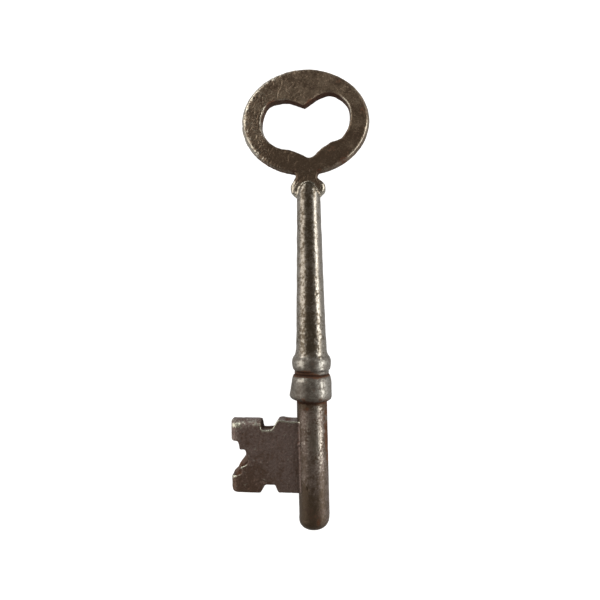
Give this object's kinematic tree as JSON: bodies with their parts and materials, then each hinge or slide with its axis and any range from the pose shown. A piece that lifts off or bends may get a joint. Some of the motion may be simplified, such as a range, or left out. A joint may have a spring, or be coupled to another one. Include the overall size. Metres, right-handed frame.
{
  "type": "skeleton key",
  "caption": "Old cast-iron skeleton key: flat oval bow with a heart-shaped eye, tapered round stem, bead and collar, and a round pin with a warded bit.",
  "frame": {"origin": "middle of the small flat on the pin's tip, on the key's axis", "axes": "the key lies along Y: +Y from the pin's tip to the bow, the bit points to -X, and +Z comes out of the front face"},
  "size_m": [0.0239, 0.0766, 0.0068],
  "materials": {
    "pin_iron": "worn grey-brown iron with rust along one side",
    "ring_iron": "polished by handling, rust in the grooves",
    "stem_iron": "polished by handling, pitted",
    "bow_iron": "dark olive-brown patina, bright where the rim is worn",
    "bit_iron": "dark brown patina with worn grey edges"
  },
  "bodies": {
    "root": {"pin": "pin_iron", "collar": "ring_iron", "bead": "ring_iron", "stem": "stem_iron", "bow": "bow_iron", "bit": "bit_iron"}
  },
  "joints": []
}
